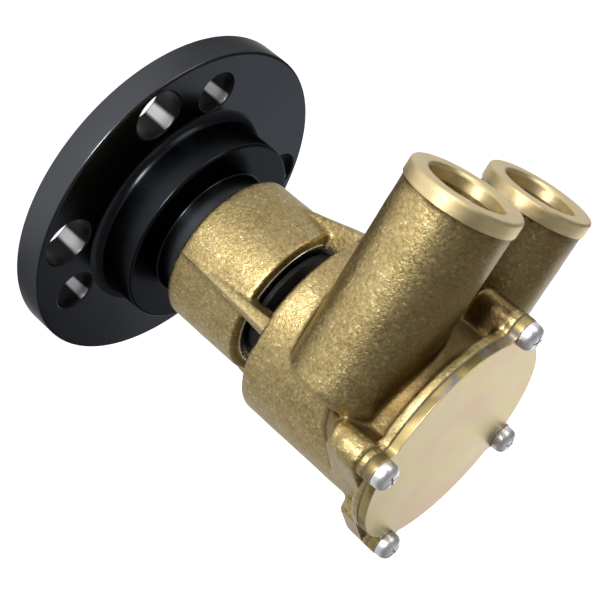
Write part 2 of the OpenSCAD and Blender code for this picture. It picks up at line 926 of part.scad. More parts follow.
module impeller_bush() {
    color("#b8893a")
        translate([0, 0, impeller_z])
            difference() {
                cylinder(r = bush_r, h = impeller_w);
                translate([0, 0, -cut])
                    cylinder(r = shaft_impeller_r + seat_gap, h = impeller_w + 2 * cut);
                translate([shaft_impeller_r + key_w * (0.5 - key_depth_share), 0, -cut])
                    bar(key_w + 2 * seat_gap, key_w + 2 * seat_gap, impeller_w + 2 * cut, 0);
                for (i = [0:bush_groove_count - 1])
                    rotate([0, 0, i * 360 / bush_groove_count])
                        translate([bush_r, 0, -cut])
                            cylinder(r = bush_groove_r, h = impeller_w + 2 * cut);
            }
}

// Outline of one blade: up one side, round the bead and down the other side
module blade_outline(lean) {
    line = [for (p = blade_line(lean)) p + [impeller_hub_r, 0]];
    left = [for (i = [0:blade_steps]) line[i]
        + blade_half(i / blade_steps) * polar(1, lean_at(i / blade_steps, lean) + 90)];
    right = [for (i = [0:blade_steps]) line[i]
        + blade_half(i / blade_steps) * polar(1, lean_at(i / blade_steps, lean) - 90)];
    root = [impeller_hub_r - blade_t, 0];
    polygon(concat(
        [root],
        right,
        [for (i = [blade_steps:-1:0]) left[i]]
    ));
    translate(line[blade_steps])
        circle(r = blade_bead_r);
}

module impeller() {
    color("#26282b")
        translate([0, 0, impeller_z])
            difference() {
                linear_extrude(height = impeller_w) {
                    circle(r = impeller_hub_r);
                    for (i = [0:blade_count - 1]) {
                        turn = port_side + (i - 0.35) * 360 / blade_count;
                        rotate([0, 0, turn])
                            blade_outline(blade_lean(turn));
                    }
                }
                translate([0, 0, -cut])
                    cylinder(r = bush_r + seat_gap, h = impeller_w + 2 * cut);
            }
}

drive_flange();
flange_key();
flange_washer();
flange_nut();
shaft();
spacer_sleeve();
bearing_inner_rings();
slinger();
impeller_key();
impeller_bush();
impeller();
bearing_balls();
bearing_cages();
pump_housing();
housing_circlip();
bearing_outer_rings();
bearing_seals();
lip_seal();
garter_spring();
wear_plate();
cam();
cam_screw();
cam_screw_washer();
cover_gasket();
end_cover();
cover_screws();
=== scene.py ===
# %% [markdown]
# A flexible impeller pump: a bronze casting with two hose ports, a screwed end cover and a
# black drive flange on the shaft. The exact solids are loaded as a fixed frame. What shows
# most gets its own mesh with the soft edges of the real piece: the casting, the turned port
# mouths, the cover, the flange and the screws. The inner pieces keep their solids and get
# materials.

# %% Load the frame
import json
import math

import bmesh
import bpy
from mathutils import Matrix, Vector, noise


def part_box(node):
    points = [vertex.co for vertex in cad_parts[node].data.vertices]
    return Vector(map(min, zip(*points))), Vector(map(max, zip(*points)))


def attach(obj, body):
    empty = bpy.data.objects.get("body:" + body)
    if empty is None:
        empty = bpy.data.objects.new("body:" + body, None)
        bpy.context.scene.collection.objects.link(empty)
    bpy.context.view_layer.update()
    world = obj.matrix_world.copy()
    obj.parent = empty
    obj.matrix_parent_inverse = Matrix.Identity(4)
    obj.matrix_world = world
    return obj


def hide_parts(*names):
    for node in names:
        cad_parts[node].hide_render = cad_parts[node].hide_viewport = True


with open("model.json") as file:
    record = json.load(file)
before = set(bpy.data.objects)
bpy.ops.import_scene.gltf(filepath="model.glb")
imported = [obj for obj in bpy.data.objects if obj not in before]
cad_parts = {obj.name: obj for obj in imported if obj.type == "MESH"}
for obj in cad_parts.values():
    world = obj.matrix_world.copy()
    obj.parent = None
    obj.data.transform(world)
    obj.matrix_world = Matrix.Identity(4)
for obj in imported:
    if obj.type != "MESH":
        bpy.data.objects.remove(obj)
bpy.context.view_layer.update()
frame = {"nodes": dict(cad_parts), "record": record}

nodes = frame["nodes"]
scene = bpy.context.scene

# %% [markdown]
# The camera stands where the photograph was taken from. It is rolled, because the pump was
# laid with its ports up while the frame stands it on its flange.

# %% Camera
camera_data = bpy.data.cameras.new("camera")
camera_data.sensor_width = 36
camera_data.lens = 86.47
camera_data.clip_start = 0.05
camera_data.clip_end = 20
camera = bpy.data.objects.new("camera", camera_data)
scene.collection.objects.link(camera)
right = Vector((-0.525590573, -0.488380869, 0.696590752))
down = Vector((0.042795995, 0.802593156, 0.594989689))
ahead = Vector((-0.849660551, 0.342532266, -0.400934651))
place = Vector((0.415998, -0.170418, 0.267352))
camera.matrix_world = Matrix.Translation(place) @ Matrix((right, -down, -ahead)).transposed().to_4x4()
scene.camera = camera
scene.view_settings.view_transform = "Standard"

# %% [markdown]
# Shader sums are written as plain expressions. A Field wraps one socket of a material, and
# each operator on it adds one Math node.

# %% Fields and finishes
class Field:
    """A socket that can be used in sums."""

    def __init__(self, finish, socket):
        self.finish, self.socket = finish, socket

    def sum(self, operation, *others, clamp=False):
        return self.finish.math(operation, self, *others, clamp=clamp)

    def __add__(self, other): return self.sum("ADD", other)
    def __radd__(self, other): return self.sum("ADD", other)
    def __sub__(self, other): return self.sum("SUBTRACT", other)
    def __rsub__(self, other): return self.finish.math("SUBTRACT", other, self)
    def __mul__(self, other): return self.sum("MULTIPLY", other)
    def __rmul__(self, other): return self.sum("MULTIPLY", other)
    def __truediv__(self, other): return self.sum("DIVIDE", other)

    def clip(self):
        return self.sum("ADD", 0.0, clamp=True)

    def step(self, low, high):
        """0 below low, 1 above high, smooth between."""
        return self.finish.node("ShaderNodeMapRange", {"interpolation_type": "SMOOTHSTEP"},
                                Value=self, **{"From Min": low, "From Max": high})


class Finish:
    """A material for one slot, with its nodes made by short calls."""

    def __init__(self, name, **surface):
        self.material = bpy.data.materials.new(name)
        self.material.use_nodes = True
        self.tree = self.material.node_tree
        self.tree.nodes.clear()
        self.shader = self.tree.nodes.new("ShaderNodeBsdfPrincipled")
        out = self.tree.nodes.new("ShaderNodeOutputMaterial")
        self.tree.links.new(self.shader.outputs["BSDF"], out.inputs["Surface"])
        for key, value in surface.items():
            self.shader.inputs[key.replace("_", " ")].default_value = value
        self.coordinates = self.tree.nodes.new("ShaderNodeTexCoord").outputs["Object"]
        self.mm = self.node("ShaderNodeVectorMath", {"operation": "SCALE"}, 0,
                            Vector=self.coordinates, Scale=1000.0)

    def plug(self, socket, value):
        if isinstance(value, Field):
            value = value.socket
        if isinstance(value, bpy.types.NodeSocket):
            self.tree.links.new(value, socket)
        else:
            socket.default_value = value

    def node(self, kind, settings=None, out=0, **sockets):
        made = self.tree.nodes.new(kind)
        for key, value in (settings or {}).items():
            setattr(made, key, value)
        for key, value in sockets.items():
            self.plug(made.inputs[key], value)
        return Field(self, made.outputs[out])

    def math(self, operation, *values, clamp=False):
        made = self.tree.nodes.new("ShaderNodeMath")
        made.operation, made.use_clamp = operation, clamp
        for socket, value in zip(made.inputs, values):
            self.plug(socket, value)
        return Field(self, made.outputs[0])

    def vector(self, operation, first, second=None, out=0):
        """One Vector Math node. The second input is a fixed vector or left out."""
        made = self.node("ShaderNodeVectorMath", {"operation": operation}, out)
        inputs = made.socket.node.inputs
        self.plug(inputs[0], first)
        if second is not None:
            self.plug(inputs[1], second)
        return made

    def radius(self, where=None, flat=(1, 1, 0)):
        """Distance in millimetres from an axis, which is the one that flat leaves out."""
        return self.vector("LENGTH", self.vector("MULTIPLY", where or self.mm, flat), out="Value")

    def rings(self, track, scale):
        """Lathe rings: noise along a track, which is a distance in millimetres."""
        return self.node("ShaderNodeTexNoise", {"noise_dimensions": "1D"}, "Fac", W=track,
                         Scale=scale, Detail=3.0, Roughness=0.7)

    def noise(self, size, detail=3.0, rough=0.55, stretch=None):
        """Noise whose features are about size millimetres across."""
        where = self.vector("MULTIPLY", self.mm, stretch) if stretch else self.mm
        return self.node("ShaderNodeTexNoise", None, "Fac", Vector=where, Scale=0.5 / size,
                         Detail=detail, Roughness=rough)

    def cells(self, size):
        """Distance to the nearest of many points, size millimetres apart."""
        return self.node("ShaderNodeTexVoronoi", None, "Distance", Vector=self.mm, Scale=1 / size)

    def axis(self, name):
        return self.node("ShaderNodeSeparateXYZ", None, name, Vector=self.mm)

    def attribute(self, name):
        return self.node("ShaderNodeAttribute", {"attribute_name": name}, "Fac")

    def mix(self, share, first, second):
        made = self.tree.nodes.new("ShaderNodeMix")
        made.data_type = "RGBA"
        self.plug(made.inputs[0], share)
        self.plug(made.inputs[6], (*first, 1) if isinstance(first, tuple) else first)
        self.plug(made.inputs[7], (*second, 1) if isinstance(second, tuple) else second)
        return Field(self, made.outputs[2])

    def paint(self, colour=None, roughness=None, metallic=None, height=None, relief=0.1):
        """Links what varies; relief is the height field's depth in millimetres."""
        for key, value in (("Base Color", colour), ("Roughness", roughness), ("Metallic", metallic)):
            if value is not None:
                self.plug(self.shader.inputs[key], value)
        if height is not None:
            bump = self.node("ShaderNodeBump", None, 0, Height=height, Distance=relief / 1000, Strength=1.0)
            self.plug(self.shader.inputs["Normal"], bump)
        return self.material


# %% [markdown]
# The body is raw sand cast bronze. The sand leaves grains a third to half a millimetre
# across, over slow waves of the mould. The skin is mottled from olive brown to pale gold,
# and single grains are painted pale as glints. Colour and bump read the same grain, so that
# a bright grain also stands proud. The casting's own attributes paint shade into its grooves,
# and brighten its edges as rubbed wear with a painted highlight. A painted highlight runs
# along the parting line and the near gusset's crest, and painted shade fills the hollow behind
# the cover's rim. These are found by their place in millimetres, which an image would need a
# layout for.

# %% Cast bronze
def cast_bronze():
    f = Finish("cast_bronze", Metallic=1.0)
    clouds = f.noise(9.0, 4.0, 0.6)
    patches = f.noise(2.6, 4.0, 0.65)
    grain = f.noise(0.55, 3.0, 0.65)
    sand = f.noise(0.24, 2.0, 0.6)
    pits = (1 - f.cells(7.5).step(0.035, 0.07)) * patches.step(0.45, 0.55)
    tone = (clouds * 0.5 + patches * 0.5 + grain * 1.5 + sand * 0.8 - 1.20).clip()
    colour = f.mix(tone, (0.235, 0.166, 0.066), (0.680, 0.540, 0.255))
    # Pale grains: painted glints.
    colour = f.mix((grain.step(0.58, 0.72) * patches.step(0.40, 0.65)).clip(), colour, (0.930, 0.820, 0.540))
    colour = f.mix(clouds.step(0.50, 0.72) * 0.40, colour, (0.420, 0.275, 0.135))
    colour = f.mix(pits * 0.8, colour, (0.060, 0.042, 0.020))
    groove, rubbed_and_highlight = f.attribute("groove"), f.attribute("rubbed_and_highlight")
    across = f.math("ABSOLUTE", f.axis("Y"))
    near = f.axis("X").step(24.0, 26.0) * (1 - f.axis("Z").step(80.5, 82.5))
    # Painted highlight along the parting line.
    seam = (1 - across / 0.50).clip() * near
    # Painted highlight along the near gusset's crest.
    crest_highlight = (1 - across / 1.6).clip() * near * f.axis("X").step(29.2, 30.4)
    # Painted shade in the hollow behind the cover's rim, on the ports' side.
    high = f.axis("Z").step(122.0, 129.0) * (1 - f.axis("Z").step(136.4, 137.2))
    hollow_shade = high * (1 - f.axis("Y").step(-9.0, -3.0))
    # Grooves and the hollow darkened: painted shade.
    colour = f.mix((groove * (0.5 + patches) + hollow_shade * 0.75).clip() * 0.85, colour, (0.115, 0.072, 0.024))
    # Edges: rubbed wear with a painted highlight. Parting line and crest: painted highlight.
    highlight_and_wear = (seam * 0.8 + (crest_highlight * 0.5 + rubbed_and_highlight) * (0.2 + grain * 0.9)).clip()
    colour = f.mix(highlight_and_wear * 0.8, colour, (0.900, 0.760, 0.440))
    height = clouds * 1.0 + patches * 0.60 + grain * 0.60 + sand * 0.30 + seam * 1.4 - pits * 0.5
    return f.paint(colour, 0.30 + grain * 0.14 + groove * 0.12, height=height, relief=0.26)


# %% [markdown]
# The mouths and bores of the ports are turned on a lathe. Fine rings follow the port's axis,
# which are noise read at the distance from that axis and along it.

# %% Turned bronze
def turned(name, light, dark, centre=(0.0, 0.0), along="Z", rough=0.2, relief=0.03):
    """A lathe finish round an axis through centre, which is given in millimetres."""
    f = Finish(name, Metallic=1.0)
    shifts = {"Z": (centre[0], centre[1], 0), "Y": (centre[0], 0, centre[1])}
    flats = {"Z": (1, 1, 0), "Y": (1, 0, 1)}
    local = f.vector("SUBTRACT", f.mm, shifts[along])
    rings = f.rings(f.radius(local, flats[along]) + f.axis(along), 5.0)
    stain = f.noise(4.0, 4.0, 0.6)
    colour = f.mix((stain * 0.9 + rings * 0.35 - 0.2).clip(), dark, light)
    return f.paint(colour, rough + 0.16 * stain, height=rings + f.noise(0.5) * 0.3, relief=relief)


# %% [markdown]
# The cover is a pale plate with a faint rose and yellow bloom, and its edge is darker olive
# with grey patches. The flange is turned, blackened metal with fine rings. Its paler rim is a
# painted highlight, its darker hub painted shade, and the bright band in its holes a painted
# reflection. The inner pieces take a few plain finishes, because only the windows and the
# ports show any of them.

# %% Cover, flange, screws and inner pieces
bright_side = (0.951, -0.309, 0)


def cover_bronze():
    f = Finish("cover_bronze", Metallic=1.0)
    mottle = f.noise(8.0, 4.0, 0.6)
    fine = f.noise(1.1, 4.0, 0.6)
    rose = f.noise(22.0, 2.0, 0.5)
    wash = f.noise(9.0, 2.0, 0.5, stretch=(0.45, 1.0, 1.0))
    colour = f.mix((mottle * 0.7 + fine * 0.3).step(0.30, 0.75), (0.589, 0.493, 0.280), (0.644, 0.548, 0.328))
    colour = f.mix(rose.step(0.42, 0.66) * 0.90, colour, (0.595, 0.415, 0.250))
    colour = f.mix(wash.step(0.50, 0.60) * 0.65, colour, (0.590, 0.505, 0.225))
    stain = f.noise(7.0, 3.0, 0.55)
    edge = f.mix(stain.step(0.40, 0.56), (0.200, 0.152, 0.062), (0.420, 0.335, 0.145))
    edge = f.mix(f.noise(6.0, 3.0, 0.6).step(0.52, 0.66), edge, (0.230, 0.215, 0.220))
    side = 1 - f.axis("Z").step(143.02, 143.12)
    colour = f.mix(side, colour, edge)
    return f.paint(colour, 0.33 + 0.10 * fine + side * 0.16, height=fine * 0.4 + mottle, relief=0.02)


def black_anodised():
    f = Finish("black_anodised", Metallic=1.0, Specular_Tint=(0.5, 0.5, 0.5, 1.0))
    fine = f.noise(0.4, 2.0)
    drift = f.noise(12.0, 3.0)
    radius = f.radius()
    rings = f.rings(radius + f.axis("Z"), 2.2)
    colour = f.mix(drift, (0.034, 0.037, 0.043), (0.049, 0.053, 0.061))
    # Paler rim: painted highlight.
    colour = f.mix(radius.step(63.0, 63.4) * 0.7, colour, (0.078, 0.082, 0.090))
    # Darker hub: painted shade.
    hub_shade = (1 - radius.step(37.2, 39.5)) * radius.step(25.0, 25.6)
    colour = f.mix(hub_shade * 0.8, colour, (0.014, 0.016, 0.019))
    return f.paint(colour, 0.19 + drift * 0.07 + fine * 0.03, height=rings * 0.6 + fine * 0.4, relief=0.004)


def bored_black():
    """The holes' walls: black, with a painted bright band down the side that faces the light."""
    f = Finish("bored_black", Specular_IOR_Level=0.2)
    facing = f.tree.nodes.new("ShaderNodeTexCoord").outputs["Normal"]
    side = f.vector("DOT_PRODUCT", facing, bright_side, "Value")
    line = f.noise(0.5, 2.0, 0.5, stretch=(1.0, 1.0, 0.04))
    # The bright band is a painted reflection, made metallic where it lies.
    reflection_band = (side.step(0.945, 0.990) * (0.75 + line * 0.5)).clip()
    colour = f.mix(reflection_band, (0.008, 0.008, 0.010), (0.620, 0.630, 0.650))
    return f.paint(colour, 0.26 + line * 0.12, metallic=reflection_band, height=line, relief=0.01)


def plain_metal(name, light, dark, rough, size=3.0, relief=0.02):
    f = Finish(name, Metallic=1.0)
    wear = f.noise(size, 4.0, 0.6)
    fine = f.noise(0.3, 2.0)
    colour = f.mix(wear.step(0.3, 0.7), dark, light)
    return f.paint(colour, rough + 0.14 * wear, height=fine + wear, relief=relief)


def soft_black(name, light, dark, rough, relief=0.05):
    f = Finish(name, Metallic=0.0, Specular_IOR_Level=0.2)
    wear = f.noise(3.0, 4.0, 0.6)
    fine = f.noise(0.35, 2.0)
    colour = f.mix(wear.step(0.3, 0.7), dark, light)
    return f.paint(colour, rough + 0.15 * wear, height=fine, relief=relief)


finishes = {
    "cast_bronze": cast_bronze(),
    "cover_bronze": cover_bronze(),
    "turned_brass": turned("turned_brass", (0.78, 0.62, 0.30), (0.56, 0.41, 0.17), rough=0.22),
    "flange_black": black_anodised(),
    "bored_hole": bored_black(),
    "steel": plain_metal("steel", (0.62, 0.63, 0.64), (0.42, 0.43, 0.44), 0.26),
    "bearing_steel": turned("bearing_steel", (0.86, 0.87, 0.89), (0.70, 0.71, 0.73), rough=0.10, relief=0.01),
    "spring_steel": plain_metal("spring_steel", (0.20, 0.20, 0.21), (0.10, 0.10, 0.11), 0.38),
    "screw_steel": plain_metal("screw_steel", (0.95, 0.95, 0.95), (0.78, 0.78, 0.79), 0.32, 1.5, 0.03),
    "black_rubber": soft_black("black_rubber", (0.020, 0.020, 0.022), (0.010, 0.010, 0.011), 0.45),
    "seal_rubber": soft_black("seal_rubber", (0.006, 0.006, 0.007), (0.003, 0.003, 0.004), 0.42),
    "copper": plain_metal("copper", (0.75, 0.42, 0.26), (0.52, 0.26, 0.14), 0.3),
    "gasket": soft_black("gasket", (0.22, 0.18, 0.12), (0.12, 0.10, 0.07), 0.7),
}
port_centres = [(27.9, 112.2), (-27.9, 112.2)]
port_names = "ab"
port_finishes = [turned("turned_port_" + name, (0.88, 0.73, 0.42), (0.66, 0.51, 0.26), centre, "Y",
                        rough=0.25, relief=0.13)
                 for name, centre in zip(port_names, port_centres)]
slots = {part["node"]: part["material_slot"] for part in frame["record"]["subparts"]}
for name, node in nodes.items():
    node.data.materials.clear()
    node.data.materials.append(finishes[slots[name]])
print("finishes", len(finishes) + len(port_finishes), "nodes", len(nodes))

# %% [markdown]
# Small helpers. They start an object on a body, copy a solid with its triangles merged, turn
# live modifiers into a mesh, spin a profile, bore one shape out of another, join several and
# shade a mesh smooth up to an angle. Lengths in a profile are in millimetres, as on a drawing.

# %% Mesh helpers
def piece(name, mesh, body, slot, material, *replaced):
    made = bpy.data.objects.new(name, mesh)
    scene.collection.objects.link(made)
    made.data.materials.clear()
    made.data.materials.append(material)
    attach(made, body)
    if replaced:
        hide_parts(*replaced)
    return made


def bake(made):
    """Turns the object's modifiers into its mesh."""
    graph = bpy.context.evaluated_depsgraph_get()
    mesh = bpy.data.meshes.new_from_object(made.evaluated_get(graph))
    made.modifiers.clear()
    old = made.data
    made.data = mesh
    bpy.data.meshes.remove(old)


def merged_copy(node):
    """A node's mesh as a bmesh, with its loose triangles merged."""
    bm = bmesh.new()
    bm.from_mesh(nodes[node].data)
    bmesh.ops.remove_doubles(bm, verts=bm.verts, dist=1e-7)
    return bm


def smooth_by_angle(made, degrees, level=None):
    """Smooth shading up to an angle. Faces square to the level direction stay flat to their rim."""
    for polygon in made.data.polygons:
        polygon.use_smooth = True
    bm = bmesh.new()
    bm.from_mesh(made.data)
    for edge in bm.edges:
        sharp = len(edge.link_faces) == 2 and edge.calc_face_angle(0) > math.radians(degrees)
        if level is not None and len(edge.link_faces) == 2:
            sharp = sharp or len({abs(face.normal.dot(level)) > 0.9999 for face in edge.link_faces}) == 2
        edge.smooth = not sharp
    bm.to_mesh(made.data)
    bm.free()


def spun(profile, steps, centre=(0, 0, 0), axis=(0, 0, 1)):
    """A closed profile spun round an axis. Each corner is its radius, height and rounding, in mm."""
    bm = bmesh.new()
    turn = Vector((0, 0, 1)).rotation_difference(Vector(axis)).to_matrix()
    corners = [bm.verts.new(turn @ Vector((c[0] / 1000, 0, c[1] / 1000)) + Vector(centre)) for c in profile]
    bm.faces.new(corners)
    for size in sorted({c[2] for c in profile if len(c) > 2}):
        sharp = [corner for corner, c in zip(corners, profile) if len(c) > 2 and c[2] == size]
        bmesh.ops.bevel(bm, geom=sharp, offset=size / 1000, affect="VERTICES", segments=5, profile=0.5,
                        material=-1)
    bmesh.ops.delete(bm, geom=bm.faces[:], context="FACES_ONLY")
    bmesh.ops.spin(bm, geom=bm.verts[:] + bm.edges[:], cent=centre, axis=axis, angle=2 * math.pi, steps=steps,
                   use_merge=True)
    bmesh.ops.remove_doubles(bm, verts=bm.verts, dist=1e-7)
    bmesh.ops.recalc_face_normals(bm, faces=bm.faces)
    return bm


def cut(made, cutter):
    """Bores a cutter's shape out of a piece. The bored walls take the piece's last material."""
    tool = bpy.data.objects.new("cutter", to_mesh(cutter, "cutter"))
    scene.collection.objects.link(tool)
    for polygon in tool.data.polygons:
        polygon.material_index = len(made.data.materials) - 1
    bore = made.modifiers.new("bore", "BOOLEAN")
    bore.object, bore.operation, bore.solver = tool, "DIFFERENCE", "EXACT"
    bake(made)
    bpy.data.objects.remove(tool)


def joined(parts):
    """One bmesh out of several."""
    whole = bmesh.new()
    for bm in parts:
        mesh = to_mesh(bm, "part")
        whole.from_mesh(mesh)
        bpy.data.meshes.remove(mesh)
    return whole


def to_mesh(bm, name):
    mesh = bpy.data.meshes.new(name)
    bm.to_mesh(mesh)
    bm.free()
    return mesh


# %% [markdown]
# The lug that carries the near cover screw runs out of the chamber's wall as a slope. The
# solid has only its straight end. A convex hull round the lug's end and a line on the wall
# gives that slope, and the remesh that follows blends it in.

# %% Foot of the near screw lug
screw_ring_r = 0.0434
near_screw = 6.5
lug_r = 0.0062
lug_low, lug_top = 0.1292, 0.1374
wall_r = 0.0356
wall_line = ((5, 0.1150), (15, 0.1165), (25, 0.1200), (36, 0.1260), (5, lug_top), (48, lug_top))


def ring_point(r, degrees, z):
    """A point at a radius, an angle and a height, in metres and degrees."""
    way = math.radians(degrees)
    return Vector((r * math.cos(way), r * math.sin(way), z))


def lug_foot():
    """The lug's foot: one slope from the chamber's wall out to the round end of the lug."""
    bm = bmesh.new()
    middle = ring_point(screw_ring_r, near_screw, lug_low)
    for k in range(-3, 6):
        for rise in (0, lug_top - lug_low):
            bm.verts.new(middle + ring_point(lug_r, near_screw + 30 * k, rise))
    for degrees, height in wall_line:
        bm.verts.new(ring_point(wall_r, degrees, height))
    hull = bmesh.ops.convex_hull(bm, input=bm.verts)
    inside = dict.fromkeys(v for v in hull["geom_interior"] if isinstance(v, bmesh.types.BMVert))
    bmesh.ops.delete(bm, geom=list(inside), context="VERTS")
    bmesh.ops.recalc_face_normals(bm, faces=bm.faces)
    print("lug foot", len(bm.faces), "faces")
    return bm


# %% [markdown]
# The casting. A sand casting has no sharp edges: every inner corner has a fillet and every
# outer edge is rounded. The solid's copy is remeshed to an even grid of 0.6 mm cells and
# smoothed, which rounds both. The near gusset's crest is first drawn in to a roof, and the
# parting line is raised along it. The turned places stay crisp, so the copy is drawn back
# there, and separate turned pieces stand in them. Smoothing a throwaway copy shows how far
# each point lies in a groove or stands out on an edge, which the finish reads to paint
# shade into the grooves and brighten the edges.

# %% Casting
cell = 0.0006
crest_r, crest_z, crest_rise = 0.0288, 0.0403, 0.0984
crest_low, crest_high, crest_half = 0.050, 0.0815, 0.0046
seam_top, seam_half, seam_height = 0.081, 0.0007, 0.00028
skin_depth, skin_scale = 0.00010, 160
port_face_y, rim_face_z = -0.0712, 0.1378


def relax(bm, verts, rounds):
    """Smooths the points a number of times."""
    for i in range(rounds):
        bmesh.ops.smooth_vert(bm, verts=verts, factor=0.5,
                              use_axis_x=True, use_axis_y=True, use_axis_z=True)


def mark_shade_and_wear(made):
    """Two attributes: how deep a point lies in a groove, and how far it stands out on an edge. The finish
    paints shade into the grooves and brightens the edges.
    """
    bm = bmesh.new()
    bm.from_mesh(made.data)
    before = [(v.co.copy(), v.normal.copy()) for v in bm.verts]
    depths = []
    for rounds in (8, 180):
        relax(bm, bm.verts, rounds)
        depths.append([1000 * (v.co - place).dot(normal) for v, (place, normal) in zip(bm.verts, before)])
    bm.free()
    fine, broad = depths
    groove = [min(max(a / 0.55, 0) + max(b - 0.30, 0) / 1.6, 1) for a, b in zip(fine, broad)]
    rubbed_and_highlight = [min(max(-a - 0.14, 0) / 0.40, 1) for a in fine]
    for name, values in (("groove", groove), ("rubbed_and_highlight", rubbed_and_highlight)):
        made.data.attributes.new(name, "FLOAT", "POINT").data.foreach_set("value", values)
        print(name, "mean", round(sum(values) / len(values), 3))


def draw_crest(verts):
    """Draws the near gusset's outer face in to a roof with its ridge on the parting line."""
    for v in verts:
        if v.co.x > 0 and abs(v.co.y) < crest_half and crest_low < v.co.z < crest_high:
            ridge = crest_r + (v.co.z - crest_z) * crest_rise + 0.0004
            limit = max(crest_r + 0.0001, ridge - 0.85 * max(abs(v.co.y) - 0.0005, 0))
            r = math.hypot(v.co.x, v.co.y)
            if r > limit:
                v.co.x, v.co.y = v.co.x * limit / r, v.co.y * limit / r


def casting():
    made = piece("housing_casting", to_mesh(merged_copy("pump_housing"), "housing_casting"), "housing",
                 "cast_bronze", finishes["cast_bronze"], "pump_housing")
    whole = lug_foot()
    whole.from_mesh(made.data)
    whole.to_mesh(made.data)
    whole.free()
    remesh = made.modifiers.new("even grid", "REMESH")
    remesh.mode = "VOXEL"
    remesh.voxel_size = cell
    bake(made)
    bm = bmesh.new()
    bm.from_mesh(made.data)
    cast = [v for v in bm.verts
            if v.co.z < 0.1375 and v.co.y > -0.0695 and math.hypot(v.co.x, v.co.y) > 0.0270]
    draw_crest(cast)
    relax(bm, cast, 10)
    for v in cast:
        seam = math.exp(-(v.co.y / seam_half) ** 2) if v.co.x > 0 and v.co.z < seam_top else 0
        v.co += v.normal * (seam_height * seam - skin_depth * (1 + noise.noise(v.co * skin_scale)))
    for v in bm.verts:
        v.co.y = max(v.co.y, port_face_y)
        v.co.z = min(v.co.z, rim_face_z)
    bm.to_mesh(made.data)
    bm.free()
    lean = made.modifiers.new("fewer triangles", "DECIMATE")
    lean.ratio = 0.30
    bake(made)
    smooth_by_angle(made, 55)
    mark_shade_and_wear(made)
    print("casting", len(made.data.polygons), "faces")


casting()

# %% [markdown]
# Each port ends in a machined collar with a smooth bore for a hose fitting. Both are turned,
# so one lathe profile round the port's axis makes them, with crisp small chamfers that the
# remeshed casting can't hold.

# %% Turned port mouths
def port_mouth(name, centre, finish):
    x, z = centre
    bore, collar, inner, inner_end, start, end = 13.2, 19.6, 13.9, 38.3, 70.6, 76.0
    profile = [(inner, inner_end), (inner, start), (collar, start, 0.2), (collar, end, 1.1),
               (bore + 0.9, end, 0.35), (bore, end - 1.1, 0.3), (bore, inner_end)]
    bm = spun(profile, 128, (x / 1000, 0, z / 1000), (0, -1, 0))
    made = piece("port_mouth_" + name, to_mesh(bm, "port_mouth"), "housing", "turned_brass",
                 finish, "pump_housing")
    smooth_by_angle(made, 30, Vector((0, 1, 0)))
    print("port mouth", name, len(made.data.polygons), "faces")


for name, centre, finish in zip(port_names, port_centres, port_finishes):
    port_mouth(name, centre, finish)

# %% [markdown]
# The barrel's end towards the chamber is machined: a land lies round the bearing, darkened
# with painted shade, and its outer corner was broken to a thin bead, painted near white as a
# highlight, the line that shows in both windows.

# %% Machined end of the barrel
def barrel_end():
    f = Finish("land_shade_bead_highlight", Metallic=1.0)
    bead_start, bead_full = 24.70, 24.80
    # Dark land: painted shade. Bright bead: painted highlight.
    colour = f.mix(f.radius().step(bead_start, bead_full), (0.020, 0.016, 0.010), (0.850, 0.830, 0.760))
    material = f.paint(colour, 0.22 + 0.1 * f.noise(2.0), height=f.noise(0.4), relief=0.01)
    profile = [(22.95, 68.75), (22.95, 69.5, 0.15), (24.65, 69.5), (24.8, 69.75, 0.1),
               (25.2, 69.75, 0.15), (25.4, 69.3)]
    made = piece("barrel_end_land", to_mesh(spun(profile, 160), "barrel_end_land"), "housing", "turned_brass",
                 material, "pump_housing")
    smooth_by_angle(made, 40, Vector((0, 0, 1)))
    print("barrel end", len(made.data.polygons), "faces")


barrel_end()

# %% [markdown]
# The drive flange is turned from one bar, so its copy is a lathe profile with rounded
# corners, spun round the shaft. The seven holes are bored with cutters that flare at both
# ends, which leaves their mouths softly rounded, as deburred holes are. A last cutter makes
# the key's slot in the bore.

# %% Drive flange
flange_turn = 347.4
flange_t = 11.2
hole_rows = [(52.0, 9.2, (30, -30, 150, -150)), (48.6, 7.6, (60, -60, 180))]


def hole_cutter(row_r, hole_r, angle):
    flare, over, beyond = 0.7, 0.03, 1
    mouth, round_off = hole_r + flare, flare - over
    profile = [(0, -beyond), (mouth, -beyond), (mouth, -over), (hole_r, -over, round_off),
               (hole_r, flange_t + over, round_off), (mouth, flange_t + over),
               (mouth, flange_t + beyond), (0, flange_t + beyond)]
    way = math.radians(angle + flange_turn)
    return spun(profile, 64, (row_r * math.cos(way) / 1000, row_r * math.sin(way) / 1000, 0))


def key_slot(low, high, foot, top):
    """A box that is a little wider than the key, from inside the bore's wall, in metres."""
    inside, gap, over = 0.0085, 0.0001, 0.001
    size = Vector((high.x - inside + gap, high.y - low.y + gap, top - foot + over))
    slot = bmesh.new()
    bmesh.ops.create_cube(slot, size=1)
    bmesh.ops.scale(slot, verts=slot.verts, vec=size)
    bmesh.ops.translate(slot, verts=slot.verts, vec=(inside + size.x / 2, 0, (top + foot + over) / 2))
    return slot


